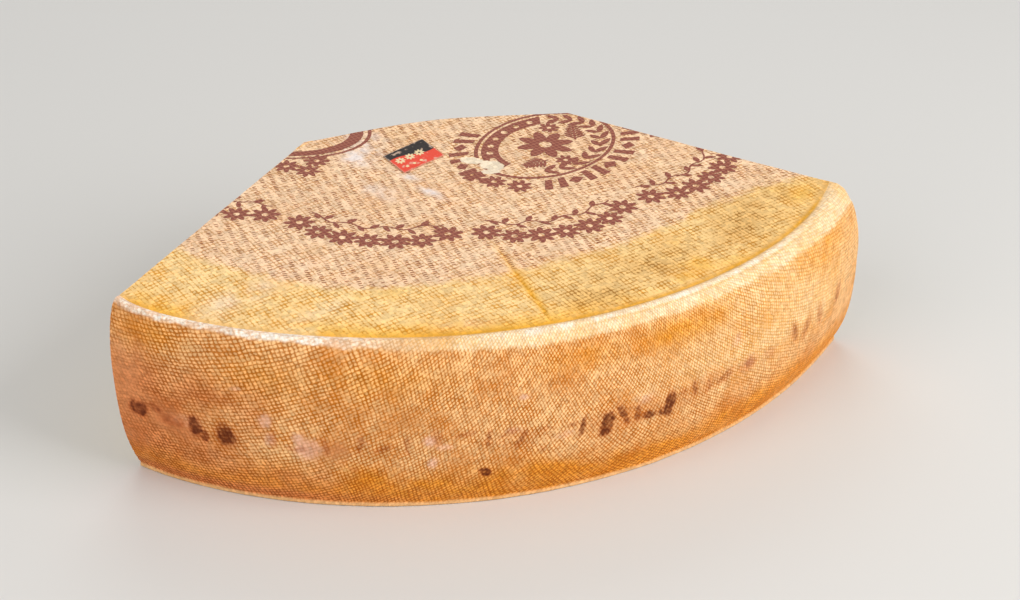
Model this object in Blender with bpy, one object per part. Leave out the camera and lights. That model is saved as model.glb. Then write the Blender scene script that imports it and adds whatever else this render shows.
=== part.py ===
# A large cut of round alpine cheese, as sold from the counter: the outer part of a quarter wheel.
# Two straight knife cuts form its sides, a third one has taken off the pointed nose, and the rind
# wraps the top, the curved front and the base. A small paper label lies on the top.
# Units are metres, +Z is up, the rind faces -Y and the nose cut faces +Y. The origin is the centre
# of the bounding box at the base.

import math

import bmesh
import bpy
from mathutils import Vector

# Driving dimensions of the wheel that the piece was cut from.
HEIGHT = 0.1002                       # base to the ridge along the upper rim
AXIS = Vector((-0.0121, 0.1586))      # where the wheel's upright axis stands
CREASE_RADIUS = 0.2730                # groove between the top and the rim ridge
BULGE_RADIUS = 0.2860                 # widest ring of the side
FOOT_RADIUS = 0.2770                  # lip along the base

# The knife cuts.
APEX = Vector((0.0161, 0.0481))       # from the axis to where the two side cuts would meet
CUT_HALF_ANGLE = math.radians(41.75)
CUT_LEAN = 0.0075                     # how far the left cut has run inwards at the base
NOSE_DISTANCE = 0.0893                # apex to the nose cut
NOSE_BOW = 0.0102                     # how far the nose cut curves outwards in its middle
NOSE_TILT = math.radians(-1.9)

# The rim and the side, seen as a profile.
RIDGE_OFFSET = 0.0030                 # crease to the top of the ridge
CREASE_DEPTH = 0.0012
CREASE_WIDTH = 0.0015
CREASE_FADE = 0.7                     # share of its depth that the crease loses at its ends
BULGE_HEIGHT = 0.060
SHOULDER_POWER = 2.05                 # superellipse that rounds the shoulder over
SIDE_POWER = 3.0                      # how late the side turns in towards the base
LIP_HEIGHT = 0.0060
LIP_DEPTH = 0.0014
LIP_ROUND = 0.0006

# How a hand-made wheel departs from a true disc.
BULGE_DRIFT = 0.0048                  # the bulge grows from the left end to the right end
FOOT_DRIFT = 0.0010
DRIFT_ANGLE = math.radians(48)
LEFT_END = math.radians(-45)
RIGHT_END = math.radians(51)
CREASE_PINCH = (0.0050, math.radians(3))      # inwards at the left end, and over what angle
CREASE_TUCK = (0.0030, math.radians(6))       # inwards at the right end
FOOT_PINCH = (0.0050, math.radians(10))       # inwards at the left end
FOOT_FLARE = (0.0045, math.radians(9))        # outwards at the right end
TOP_DROP = 0.0008                     # the top lies this much under the ridge
TOP_WAVE = 0.0003
TOP_WAVE_LENGTH = 0.060
SIDE_WAVE = 0.0003
SIDE_WAVE_COUNT = 9

# The label.
LABEL_CENTRE = Vector((-0.0058, -0.0741))     # from the wheel's axis
LABEL_SIZE = (0.0315, 0.0242)
LABEL_ANGLES = (math.radians(29), math.radians(105))
LABEL_THICKNESS = 0.0003
LABEL_GAP = 0.0003

# Mesh density.
COLUMNS = 60
TOP_ROWS = 12
SHOULDER_ROWS = 8
SIDE_ROWS = 7
LABEL_CELLS = (8, 6)


def clear_scene():
    for old in list(bpy.data.objects):
        bpy.data.objects.remove(old)


def principled(name, colour, roughness):
    material = bpy.data.materials.new(name)
    material.use_nodes = True
    shader = material.node_tree.nodes["Principled BSDF"]
    shader.inputs["Base Color"].default_value = (*colour, 1.0)
    shader.inputs["Roughness"].default_value = roughness
    shader.inputs["Metallic"].default_value = 0.0
    return material


def column_direction(angle):
    return Vector((math.sin(angle), -math.cos(angle)))


def apex_at(height):
    """Where the side cuts would meet at a height: it slides along the right cut as the left one leans."""
    slide = CUT_LEAN / math.sin(2 * CUT_HALF_ANGLE) * (1 - height / HEIGHT)
    return APEX + column_direction(CUT_HALF_ANGLE) * slide


def on_circle(angle, radius, height):
    """Where a column meets a circle about the wheel's axis at a height, from the axis."""
    apex = apex_at(height)
    direction = column_direction(angle)
    along = apex.dot(direction)
    distance = math.sqrt(along ** 2 - apex.length_squared + radius ** 2) - along
    return apex + direction * distance


def on_nose(angle, height):
    """Where a column meets the nose cut at a height, from the axis."""
    apex = apex_at(height)
    bow = NOSE_BOW * (1 - (angle / CUT_HALF_ANGLE) ** 2)
    distance = (NOSE_DISTANCE - bow - (APEX.y - apex.y)) / math.cos(angle - NOSE_TILT)
    return apex + column_direction(angle) * distance


def wheel_angle(angle):
    """The angle about the wheel's axis, from -Y, at which a column meets the rim."""
    spot = on_circle(angle, CREASE_RADIUS, HEIGHT)
    return math.atan2(spot.x, -spot.y)


def drift(turn):
    return turn / DRIFT_ANGLE


def at_left_end(change, turn):
    size, spread = change
    return size * math.exp((LEFT_END - turn) / spread)


def at_right_end(change, turn):
    size, spread = change
    return size * math.exp((turn - RIGHT_END) / spread)


def crease_radius(turn):
    return CREASE_RADIUS - at_left_end(CREASE_PINCH, turn) - at_right_end(CREASE_TUCK, turn)


def bulge_radius(turn):
    return BULGE_RADIUS + BULGE_DRIFT * drift(turn)


def foot_radius(turn):
    drifted = FOOT_RADIUS + FOOT_DRIFT * drift(turn)
    return drifted - at_left_end(FOOT_PINCH, turn) + at_right_end(FOOT_FLARE, turn)


def top_level(spot):
    """Height of the top at a place given from the wheel's axis, without the crease."""
    wave = math.sin(spot.x / TOP_WAVE_LENGTH) * math.cos(spot.y / TOP_WAVE_LENGTH)
    return HEIGHT - TOP_DROP + TOP_WAVE * wave


def crease_rows(angle, turn):
    """The groove: down to its bottom and up again towards the ridge."""
    rows = []
    depth = CREASE_DEPTH * (1 - CREASE_FADE * drift(turn) ** 6)
    for offset in (-2.0, -0.9, 0.0, 0.9):
        radius = crease_radius(turn) + offset * CREASE_WIDTH
        level = top_level(on_circle(angle, radius, HEIGHT))
        rows.append((radius, level - depth * math.exp(-offset ** 2)))
    return rows


def shoulder_rows(ridge, bulge):
    """From the ridge over the rounded shoulder to the widest ring."""
    rows = []
    for step in range(SHOULDER_ROWS + 1):
        turn = math.pi / 2 * step / SHOULDER_ROWS
        out = max(math.sin(turn), 0.0) ** (2 / SHOULDER_POWER)
        up = max(math.cos(turn), 0.0) ** (2 / SHOULDER_POWER)
        rows.append((ridge + (bulge - ridge) * out, BULGE_HEIGHT + (HEIGHT - BULGE_HEIGHT) * up))
    return rows


def side_rows(bulge, neck):
    """From the widest ring down to the neck above the lip."""
    rows = []
    for step in range(1, SIDE_ROWS + 1):
        fall = step / SIDE_ROWS
        height = BULGE_HEIGHT + (LIP_HEIGHT - BULGE_HEIGHT) * fall
        rows.append((bulge - (bulge - neck) * fall ** SIDE_POWER, height))
    return rows


def lip_rows(foot):
    return [(foot, LIP_HEIGHT / 2), (foot, LIP_ROUND), (foot - LIP_ROUND, 0.0)]


def side_wave(turn, height):
    rise = height / HEIGHT
    return SIDE_WAVE * math.sin(math.pi * rise) * math.sin(SIDE_WAVE_COUNT * turn + math.pi * rise)


def rind_profile(angle):
    """Radius and height of every row from the crease to the base, for one column."""
    turn = wheel_angle(angle)
    bulge = bulge_radius(turn)
    foot = foot_radius(turn)
    rows = crease_rows(angle, turn)
    rows += shoulder_rows(crease_radius(turn) + RIDGE_OFFSET, bulge)
    rows += side_rows(bulge, foot - LIP_DEPTH)
    rows += lip_rows(foot)
    return [(radius + side_wave(turn, height), height) for radius, height in rows]


def place(spot, height):
    """A point of the part from its place about the wheel's axis."""
    return Vector((AXIS.x + spot.x, AXIS.y + spot.y, height))


def cheese_column(angle):
    """One upright section, from the nose over the top and the rind to the base."""
    profile = rind_profile(angle)
    start = on_nose(angle, HEIGHT)
    end = on_circle(angle, profile[0][0], HEIGHT)
    points = []
    for step in range(TOP_ROWS):
        spot = start.lerp(end, step / TOP_ROWS)
        points.append(place(spot, top_level(spot)))
    for radius, height in profile:
        points.append(place(on_circle(angle, radius, height), height))
    points.append(place(on_nose(angle, 0.0), 0.0))
    return points


def make_cheese(material):
    mesh = bmesh.new()
    columns = []
    for index in range(COLUMNS + 1):
        angle = CUT_HALF_ANGLE * (2 * index / COLUMNS - 1)
        columns.append([mesh.verts.new(point) for point in cheese_column(angle)])
    rows = len(columns[0])
    for left, right in zip(columns, columns[1:]):
        for row in range(rows - 2):
            mesh.faces.new((left[row], left[row + 1], right[row + 1], right[row]))
        mesh.faces.new((left[rows - 1], left[0], right[0], right[rows - 1]))
    mesh.faces.new(columns[0])
    mesh.faces.new(columns[-1])
    foot_edge = [column[rows - 2] for column in columns]
    nose_edge = [column[rows - 1] for column in columns]
    mesh.faces.new(foot_edge + nose_edge[::-1])
    bmesh.ops.recalc_face_normals(mesh, faces=mesh.faces)
    return finish("cheese", mesh, material)


def make_label(material):
    """A thin paper parallelogram that follows the top, a hair above it."""
    mesh = bmesh.new()
    along = Vector((math.cos(LABEL_ANGLES[0]), math.sin(LABEL_ANGLES[0]))) * LABEL_SIZE[0]
    across = Vector((math.cos(LABEL_ANGLES[1]), math.sin(LABEL_ANGLES[1]))) * LABEL_SIZE[1]
    count_along, count_across = LABEL_CELLS
    sheets = []
    for lift in (LABEL_GAP, LABEL_GAP + LABEL_THICKNESS):
        sheet = []
        for i in range(count_along + 1):
            line = []
            for j in range(count_across + 1):
                spot = LABEL_CENTRE + along * (i / count_along - 0.5) + across * (j / count_across - 0.5)
                line.append(mesh.verts.new(place(spot, top_level(spot) + lift)))
            sheet.append(line)
        sheets.append(sheet)
    for sheet in sheets:
        for i in range(count_along):
            for j in range(count_across):
                mesh.faces.new((sheet[i][j], sheet[i + 1][j], sheet[i + 1][j + 1], sheet[i][j + 1]))
    lower, upper = sheets
    border = [(i, 0) for i in range(count_along)]
    border += [(count_along, j) for j in range(count_across)]
    border += [(i, count_across) for i in range(count_along, 0, -1)]
    border += [(0, j) for j in range(count_across, 0, -1)]
    for (i, j), (k, m) in zip(border, border[1:] + border[:1]):
        mesh.faces.new((lower[i][j], lower[k][m], upper[k][m], upper[i][j]))
    bmesh.ops.recalc_face_normals(mesh, faces=mesh.faces)
    return finish("label", mesh, material)


def finish(name, mesh, material):
    data = bpy.data.meshes.new(name)
    mesh.to_mesh(data)
    mesh.free()
    data.materials.append(material)
    data.shade_smooth()
    data.set_sharp_from_angle(angle=math.radians(40))
    built = bpy.data.objects.new(name, data)
    bpy.context.scene.collection.objects.link(built)
    return built


clear_scene()
make_cheese(principled("washed_rind", (0.71, 0.41, 0.14), 0.6))
make_label(principled("printed_paper", (0.66, 0.06, 0.04), 0.5))
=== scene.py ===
import math

import bpy
import numpy as np
from mathutils import Matrix


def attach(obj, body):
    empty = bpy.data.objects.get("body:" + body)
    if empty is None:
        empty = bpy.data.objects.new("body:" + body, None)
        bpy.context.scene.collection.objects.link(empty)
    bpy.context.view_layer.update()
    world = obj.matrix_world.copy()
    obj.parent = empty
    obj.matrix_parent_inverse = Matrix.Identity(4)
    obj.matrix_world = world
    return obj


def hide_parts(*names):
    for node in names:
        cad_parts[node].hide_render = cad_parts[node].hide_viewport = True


# A large cut of round alpine cheese, the outer part of a quarter wheel, as sold from the counter.
# The wheel was pressed in cloth, which left its weave on the whole rind, and was aged and washed.
# Sizes here are in millimetres until a mesh is made, and places on the top are given from the
# wheel's upright axis. The rind faces -Y, and a turn is the angle about that axis from -Y.
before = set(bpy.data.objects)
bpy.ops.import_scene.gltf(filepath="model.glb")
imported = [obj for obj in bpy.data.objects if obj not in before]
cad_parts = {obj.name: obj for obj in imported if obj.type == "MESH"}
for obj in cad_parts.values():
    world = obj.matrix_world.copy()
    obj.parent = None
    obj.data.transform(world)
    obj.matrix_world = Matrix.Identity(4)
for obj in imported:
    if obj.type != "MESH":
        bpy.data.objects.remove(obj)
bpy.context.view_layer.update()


# The top of the wheel: a nearly flat washed rind that carries the print of the cloth and, in its
# middle part, a beige printed face. The cloth lay folded over itself, which left a step along a
# straight seam, and a groove runs all the way round inside the rim.
AXIS = (-12.1, 158.6)
HEIGHT = 100.2
APEX = (16.1, 48.1)
CUT_HALF_ANGLE = math.radians(41.75)
CUT_LEAN = 7.5
NOSE_DISTANCE = 89.3
NOSE_BOW = 10.2
NOSE_TILT = math.radians(-1.9)
LEFT_END = math.radians(-45)
RIGHT_END = math.radians(51)
DRIFT_ANGLE = math.radians(48)
CREASE_RADIUS = 273.0
CREASE_PINCH = (5.0, math.radians(3))
CREASE_TUCK = (3.0, math.radians(6))
CREASE_DEPTH = 0.35
CREASE_WIDTH = 1.5
CREASE_FADE = 0.7
TOP_DROP = 0.5
TOP_WAVE = 0.3
TOP_WAVE_LENGTH = 60.0
TOP_COLUMNS = 560
TOP_ROWS = 300
TOP_THREADS = ((2.5, math.radians(15)), (2.85, math.radians(-70)))    # spacing and direction across them
TOP_RELIEF = 0.24
SEAM_FOOT = (11.0, -275.0)
SEAM_HEAD = (6.6, -165.0)
SEAM_STEP = 0.35
PRINT_EDGE = ((-48, 212), (-41, 215), (-34, 220), (-23, 226), (-11, 221), (3, 217),
              (16, 214), (35, 220), (46, 236), (52, 256))            # turn in degrees, radius


def direction(angle):
    return np.sin(angle), -np.cos(angle)


def apex_at(height):
    """Where the side cuts would meet at a height: it slides along the right cut as the left one leans."""
    slide = CUT_LEAN / math.sin(2 * CUT_HALF_ANGLE) * (1 - np.asarray(height) / HEIGHT)
    along = direction(CUT_HALF_ANGLE)
    return APEX[0] + along[0] * slide, APEX[1] + along[1] * slide


def meet_circle(angle, radius, height):
    x, y = apex_at(height)
    dx, dy = direction(angle)
    along = x * dx + y * dy
    distance = np.sqrt(along ** 2 - x ** 2 - y ** 2 + radius ** 2) - along
    return x + dx * distance, y + dy * distance


def meet_nose(angle, height):
    x, y = apex_at(height)
    bow = NOSE_BOW * (1 - (angle / CUT_HALF_ANGLE) ** 2)
    distance = (NOSE_DISTANCE - bow - (APEX[1] - y)) / np.cos(angle - NOSE_TILT)
    dx, dy = direction(angle)
    return x + dx * distance, y + dy * distance


def turn_of(x, y):
    return np.arctan2(x, -y)


def crease_radius(turn):
    pinch = CREASE_PINCH[0] * np.exp((LEFT_END - turn) / CREASE_PINCH[1])
    tuck = CREASE_TUCK[0] * np.exp((turn - RIGHT_END) / CREASE_TUCK[1])
    return CREASE_RADIUS - pinch - tuck


def crease_depth(turn):
    return CREASE_DEPTH * (1 - CREASE_FADE * (turn / DRIFT_ANGLE) ** 6)


def ease(value, low=0.0, high=1.0):
    share = np.clip((value - low) / (high - low), 0, 1)
    return share * share * (3 - 2 * share)


def lattice_noise(x, y, size, seed):
    """Smooth noise from -1 to 1 whose lumps are about one size across."""
    u = np.asarray(x) / size + 1000
    v = np.asarray(y) / size + 1000
    i = np.floor(u).astype(np.int64)
    j = np.floor(v).astype(np.int64)
    fu = ease(u - i)
    fv = ease(v - j)

    def corner(a, b):
        mixed = (a * 73856093) ^ (b * 19349663) ^ (seed * 83492791)
        mixed = (mixed ^ (mixed >> 13)) * 1274126177 & 0x7FFFFFFF
        mixed = (mixed ^ (mixed >> 15)) & 0xFFFF
        return mixed / 32767.5 - 1

    low = corner(i, j) * (1 - fu) + corner(i + 1, j) * fu
    high = corner(i, j + 1) * (1 - fu) + corner(i + 1, j + 1) * fu
    return low * (1 - fv) + high * fv


def ragged(x, y, size, seed):
    return (lattice_noise(x, y, size, seed) + 0.5 * lattice_noise(x, y, size / 2.3, seed + 1)
            + 0.25 * lattice_noise(x, y, size / 5.1, seed + 2)) / 1.4


def blot(x, y, place, size, angle=0.0):
    """A soft patch: 1 at its middle, about a third at its edge."""
    dx = x - place[0]
    dy = y - place[1]
    along = (dx * math.cos(angle) + dy * math.sin(angle)) / size[0]
    across = (dy * math.cos(angle) - dx * math.sin(angle)) / size[1]
    return np.exp(-(along ** 2 + across ** 2))


def patches(x, y, rows, per_turn=1.0):
    """The strongest of some soft patches, each row being its place, size, angle in degrees and strength."""
    total = np.zeros_like(x)
    for at, level, wide, tall, angle, amount in rows:
        patch = blot(x, y, (at * per_turn, level), (wide, tall), math.radians(angle))
        total = np.maximum(total, amount * patch)
    return total


def seam_side(x, y):
    """Distance to the right of the fold in the cloth, and how much of the fold is there."""
    share = (y - SEAM_FOOT[1]) / (SEAM_HEAD[1] - SEAM_FOOT[1])
    line = SEAM_FOOT[0] + (SEAM_HEAD[0] - SEAM_FOOT[0]) * share
    return x - line, 1 - ease(y, -240, -170)


def printed_share(x, y):
    turn = np.degrees(turn_of(x, y))
    edge = np.interp(turn, *zip(*PRINT_EDGE)) + 3.0 * ragged(x, y, 14, 11) + 2.5 * ragged(x, y, 4, 13)
    return 1 - ease(np.hypot(x, y) - edge, -4, 5)


SMEARS = ((-38, -66, 12, 7, -60, 0.8), (-29, -56, 12, 6, -65, 0.65), (-20, -44, 9, 4, -60, 0.5),
          (-34, -40, 8, 4, -70, 0.3), (-17, -95, 9, 3.2, -55, 0.7), (-8, -121, 9, 3.4, -62, 0.7),
          (-36, -110, 14, 6, -60, 0.35), (-29, -121, 9, 5, -50, 0.25))
TORN = ((25, -88, 8, 4.2, -35, 1.0), (34, -97, 8, 6.5, -40, 1.0), (31, -104, 6, 3, -10, 1.0))


def smear_share(x, y):
    return 1.35 * patches(x, y, SMEARS) * (0.7 + 0.9 * ragged(x, y, 4.5, 21))


def torn_share(x, y):
    return ease(patches(x, y, TORN) + 0.16 * ragged(x, y, 4, 23), 0.36, 0.5)


def top_phases(x, y):
    """How many threads of each of the two sets have been crossed at a place."""
    phases = []
    for number, (spacing, across) in enumerate(TOP_THREADS):
        slack = 1.1 * lattice_noise(x, y, 110, 29 + number) + 0.30 * lattice_noise(x, y, 31, 31 + number)
        slack += 0.13 * lattice_noise(x, y, 8, 41 + number) + 0.07 * lattice_noise(x, y, 3.2, 47 + number)
        phases.append((x * math.cos(across) + y * math.sin(across)) / spacing + slack + 200)
    return phases


def weave_strength(x, y):
    near_rim = ease(crease_radius(turn_of(x, y)) - np.hypot(x, y), 0.5, 5)
    bare = (1 - 0.8 * torn_share(x, y)) * (1 - 0.5 * smear_share(x, y))
    return near_rim * bare * (0.82 + 0.18 * ragged(x, y, 22, 51))


def pillow(phases):
    """Height of the cloth's print between its threads, from 0 in a thread's groove to 1."""
    return np.sqrt(np.abs(np.sin(math.pi * phases[0]) * np.sin(math.pi * phases[1])))


def smooth_top(x, y):
    return HEIGHT - TOP_DROP + TOP_WAVE * np.sin(x / TOP_WAVE_LENGTH) * np.cos(y / TOP_WAVE_LENGTH)


def top_surface(x, y):
    turn = turn_of(x, y)
    groove = (np.hypot(x, y) - crease_radius(turn)) / CREASE_WIDTH
    level = smooth_top(x, y) - crease_depth(turn) * np.exp(-groove ** 2)
    level -= TOP_RELIEF * weave_strength(x, y) * (1 - pillow(top_phases(x, y)))
    within = ease(crease_radius(turn) - np.hypot(x, y), 0, 3)
    level += within * (0.12 * ragged(x, y, 16, 61) - 0.12)
    beside, folded = seam_side(x, y)
    level += within * SEAM_STEP * folded * ease(beside, -0.5, 0.5) * np.exp(-np.maximum(beside, 0) / 22)
    level -= within * 0.5 * folded * np.exp(-(beside / 0.8) ** 2)
    return level - 0.35 * torn_share(x, y)


def from_axis(x, y, z):
    """Points in metres, in the part's own frame, from places about the wheel's axis."""
    return np.stack((AXIS[0] + x, AXIS[1] + y, z), axis=-1) / 1000


def mesh_piece(name, points, faces, attributes, material):
    """A mesh that carries, under each attribute's name, up to three values for every point."""
    mesh = bpy.data.meshes.new(name)
    mesh.from_pydata(points.reshape(-1, 3).tolist(), [], faces)
    mesh.update()
    for key, values in attributes.items():
        parts = [np.ravel(part) for part in values]
        parts += [0 * parts[0]] * (3 - len(parts))
        stored = mesh.attributes.new(key, "FLOAT_VECTOR", "POINT")
        stored.data.foreach_set("vector", np.stack(parts, axis=-1).astype(np.float32).ravel())
    mesh.materials.append(material)
    mesh.shade_smooth()
    piece = bpy.data.objects.new(name, mesh)
    bpy.context.scene.collection.objects.link(piece)
    return piece


def grid_faces(rows, columns, flip=False):
    corner = np.arange(rows * columns).reshape(rows, columns)
    faces = np.stack((corner[:-1, :-1], corner[:-1, 1:], corner[1:, 1:], corner[1:, :-1]), axis=-1)
    if flip:
        faces = faces[..., ::-1]
    return faces.reshape(-1, 4).tolist()


def colour(hex_code):
    """An sRGB hex value as linear light, with full opacity."""
    values = [int(hex_code[i:i + 2], 16) / 255 for i in (1, 3, 5)]
    return [v / 12.92 if v <= 0.04045 else ((v + 0.055) / 1.055) ** 2.4 for v in values] + [1.0]


def feed(tree, node, inputs):
    """Links or fills a node's inputs. A node as a value stands for the first of its outputs in use."""
    for key, value in inputs.items():
        if isinstance(value, bpy.types.Node):
            value = next(output for output in value.outputs if output.enabled)
        if isinstance(value, bpy.types.NodeSocket):
            tree.links.new(value, node.inputs[key])
        else:
            node.inputs[key].default_value = value


def add(tree, kind, inputs=None, **settings):
    """Adds a node with its settings and its inputs."""
    made = tree.nodes.new("ShaderNode" + kind)
    for name, value in settings.items():
        setattr(made, name, value)
    feed(tree, made, inputs or {})
    return made


def new_finish(name):
    material = bpy.data.materials.new(name)
    material.use_nodes = True
    return material, material.node_tree, material.node_tree.nodes["Principled BSDF"]


def thread_waves(tree):
    """The weave's phases, and for each set of threads a wave from 0 in its grooves to 1 between them."""
    weave = add(tree, "Attribute", attribute_name="weave")
    phases = add(tree, "SeparateXYZ", {0: weave.outputs["Vector"]})
    waves = []
    for axis in (0, 1):
        angle = add(tree, "Math", {0: phases.outputs[axis], 1: math.pi}, operation="MULTIPLY")
        wave = add(tree, "Math", {0: angle}, operation="SINE")
        waves.append(add(tree, "Math", {0: wave}, operation="ABSOLUTE"))
    return weave, phases, waves


SMOOTH = {"interpolation_type": "SMOOTHSTEP"}
RIND_GRAIN = 1.4         # crumbs and dried fibres of the skin
RIND_SPOT = 6.5          # spots where the skin has crept over its own weave
RIND_STAIN = 24.0        # stains left by the brine cloth


def cloth_pressed_rind(name, layers, cell_edges, patchiness, rubbed):
    """Washed rind: dark golden in the grooves left by the threads, paler and drier on the cells between. The
    darker grooves are partly painted shade and the paler cells partly painted highlight.
    Each layer is an attribute, its part, and the two colours of groove and cell where it covers."""
    material, tree, shader = new_finish(name)
    weave, phases, waves = thread_waves(tree)
    for axis in (0, 1):
        thread = add(tree, "Math", {0: phases.outputs[axis]}, operation="ROUND")
        chance = add(tree, "TexWhiteNoise", {"W": thread}, noise_dimensions="1D")
        lift = add(tree, "Math", {0: chance.outputs["Value"], 1: 0.45}, operation="MULTIPLY")
        waves[axis] = add(tree, "Math", {0: waves[axis], 1: lift}, operation="MAXIMUM")
    hill = add(tree, "Math", {0: waves[0], 1: waves[1]}, operation="MULTIPLY")
    place = add(tree, "TexCoord").outputs["Object"]
    grain, patch, blotch = [
        add(tree, "TexNoise", {"Vector": place, "Scale": 1000 / size, "Detail": detail, "Roughness": rough})
        for size, detail, rough in ((RIND_GRAIN, 4.0, 0.7), (RIND_SPOT, 3.0, 0.6), (RIND_STAIN, 5.0, 0.62))]
    rough_hill = add(tree, "Math", {0: grain, 1: 1.5, 2: hill}, operation="MULTIPLY_ADD")
    rough_hill = add(tree, "Math", {0: patch, 1: patchiness, 2: rough_hill}, operation="MULTIPLY_ADD")
    usual = 0.75 + 0.5 * patchiness
    edges = {"Value": rough_hill, "From Min": cell_edges[0] + usual, "From Max": cell_edges[1] + usual}
    cell = add(tree, "MapRange", edges, **SMOOTH)
    shown = add(tree, "Mix", {0: phases.outputs[2], 2: 0.62, 3: cell}, data_type="FLOAT")
    stain = {"Value": blotch, "From Min": 0.42, "From Max": 0.68, "To Min": 1.0, "To Max": 1 - rubbed}
    stain = add(tree, "MapRange", stain, **SMOOTH)
    shown = add(tree, "Math", {0: shown, 1: stain}, operation="MULTIPLY")
    masks = {}
    for attribute in sorted({layer[0] for layer in layers[1:]}):
        stored = add(tree, "Attribute", attribute_name=attribute)
        masks[attribute] = add(tree, "SeparateXYZ", {0: stored.outputs["Vector"]})
    tones = []
    for which in (0, 1):
        tone = colour(layers[0][2 + which])
        for attribute, part, *pair in layers[1:]:
            covered = {0: masks[attribute].outputs[part], 6: tone, 7: colour(pair[which])}
            tone = add(tree, "Mix", covered, data_type="RGBA")
        tones.append(tone)
    # Groove and cell colours mix here. The groove colour is partly the rind's own and partly painted shade in
    # the grooves. The cell colour is partly painted highlight on the cells.
    flat = add(tree, "Mix", {0: shown, 6: tones[0], 7: tones[1]}, data_type="RGBA")
    cell_number = add(tree, "VectorMath", {0: weave.outputs["Vector"]}, operation="FLOOR")
    chance = add(tree, "TexWhiteNoise", {"Vector": cell_number}, noise_dimensions="2D")
    light = {"Value": blotch, "From Min": 0.25, "From Max": 0.75, "To Min": 0.48, "To Max": 0.62}
    light = add(tree, "MapRange", light, clamp=False)
    light = add(tree, "Math", {0: chance.outputs["Value"], 1: 0.28, 2: light}, operation="MULTIPLY_ADD")
    light = add(tree, "Math", {0: grain, 1: 0.62, 2: light}, operation="MULTIPLY_ADD")
    painted = add(tree, "VectorMath", {0: flat, "Scale": light}, operation="SCALE")
    dull = add(tree, "MapRange", {"Value": grain, "To Min": 0.5, "To Max": 0.78})
    bump = add(tree, "Bump", {"Height": rough_hill, "Strength": 0.45, "Distance": 0.0003})
    feed(tree, shader,
         {"Base Color": painted, "Roughness": dull, "Normal": bump, "Specular IOR Level": 0.12})
    return material, tree, shader, painted, masks


TOP_LAYERS = (
    ("", 0, "#d28c14", "#ffdb9c"),
    ("zones", 0, "#cb9058", "#ffdbb4"),
    ("zones", 1, "#9c6412", "#f4c57c"),
    ("zones", 2, "#da8a00", "#ffc654"),
    ("marks", 0, "#e8d4c8", "#faeee8"),
    ("marks", 1, "#eed6ac", "#f6e6d2"),
    ("lines", 0, "#c98708", "#f2b03a"),
)
TICK_ROW = 5.8
TICK_PITCH = 2.1
top_finish = cloth_pressed_rind("washed_rind_top", TOP_LAYERS, (-0.1, 0.5), 1.8, 0.25)
top_rind, tree, shader, painted, masks = top_finish

# The small print of the middle part is far too fine to read, so it is rows of plain slanting ticks.
place = add(tree, "TexCoord").outputs["Object"]
spot = add(tree, "SeparateXYZ", {0: place})
row = add(tree, "Math", {0: spot.outputs[0], 1: 1000 / TICK_ROW}, operation="MULTIPLY")
along = add(tree, "Math", {0: spot.outputs[1], 1: 1000 / TICK_PITCH}, operation="MULTIPLY")
steps = [add(tree, "Math", {0: value}, operation="FLOOR") for value in (row, along)]
within = [add(tree, "Math", {0: value}, operation="FRACT") for value in (row, along)]
number = add(tree, "CombineXYZ", {0: steps[0], 1: steps[1]})
chance = add(tree, "TexWhiteNoise", {"Vector": number}, noise_dimensions="2D")
draws = add(tree, "SeparateColor", {0: chance.outputs["Color"]})
height = add(tree, "Math", {0: within[0], 1: 0.5}, operation="SUBTRACT")
slant = add(tree, "MapRange", {"Value": draws.outputs[0], "To Min": -0.9, "To Max": 0.9})
shift = add(tree, "Math", {0: slant, 1: height}, operation="MULTIPLY")
aside = add(tree, "Math", {0: within[1], 1: 0.5}, operation="SUBTRACT")
aside = add(tree, "Math", {0: aside, 1: shift}, operation="SUBTRACT")
aside = add(tree, "Math", {0: aside}, operation="ABSOLUTE")
aloft = add(tree, "Math", {0: height}, operation="ABSOLUTE")
thin = add(tree, "MapRange", {"Value": aside, "From Min": 0.3, "From Max": 0.12}, **SMOOTH)
tall = add(tree, "MapRange", {"Value": aloft, "From Min": 0.24, "From Max": 0.15}, **SMOOTH)
there = add(tree, "Math", {0: draws.outputs[1], 1: 0.25}, operation="GREATER_THAN")
ink = add(tree, "Math", {0: thin, 1: tall}, operation="MULTIPLY")
ink = add(tree, "Math", {0: ink, 1: there}, operation="MULTIPLY")
ink = add(tree, "Math", {0: ink, 1: masks["marks"].outputs[2]}, operation="MULTIPLY")
inked = add(tree, "Mix", {0: ink, 6: painted, 7: colour("#a0663e")}, data_type="RGBA",
            blend_type="MULTIPLY")
feed(tree, shader, {"Base Color": inked})

angles = np.linspace(-CUT_HALF_ANGLE, CUT_HALF_ANGLE, TOP_COLUMNS + 1)
turns = turn_of(*meet_circle(angles, CREASE_RADIUS, HEIGHT))
inner = meet_nose(angles, HEIGHT)
outer = meet_circle(angles, crease_radius(turns), HEIGHT)
share = (np.arange(TOP_ROWS + 1) / TOP_ROWS)[:, None]
x = inner[0] + (outer[0] - inner[0]) * share
y = inner[1] + (outer[1] - inner[1]) * share
z = top_surface(x, y)
turn = np.degrees(turn_of(x, y))
to_crease = crease_radius(np.radians(turn)) - np.hypot(x, y)
printed = printed_share(x, y)
beside, folded = seam_side(x, y)
OLIVE = ((38, -254, 17, 10, 5, 1.3), (84, -228, 38, 14, 25, 0.65), (148, -198, 30, 15, 42, 0.85),
         (60, -236, 34, 12, 20, 0.5), (176, -176, 14, 10, 45, 0.6), (-60, -240, 30, 8, -15, 0.15))
olive = patches(x, y, OLIVE)
olive = olive * (0.85 + 0.5 * ragged(x, y, 7, 71)) + 0.22 * (1 - printed)
olive = olive * ease(beside, -1, 1) + 0.15 * ease(ragged(x, y, 12, 73), 0.2, 0.7)
golden = 0.95 * np.exp(-(to_crease / 12) ** 2) * (1 - 0.8 * ease(turn, -2, 20))
golden = golden * ease(ragged(x, y, 25, 75) + 0.5 * ease(turn, -34, -20), -0.5, 0.3)
line = ease(turn, -18, -6) * (1 - 0.85 * ease(turn, 43, 49))
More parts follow.
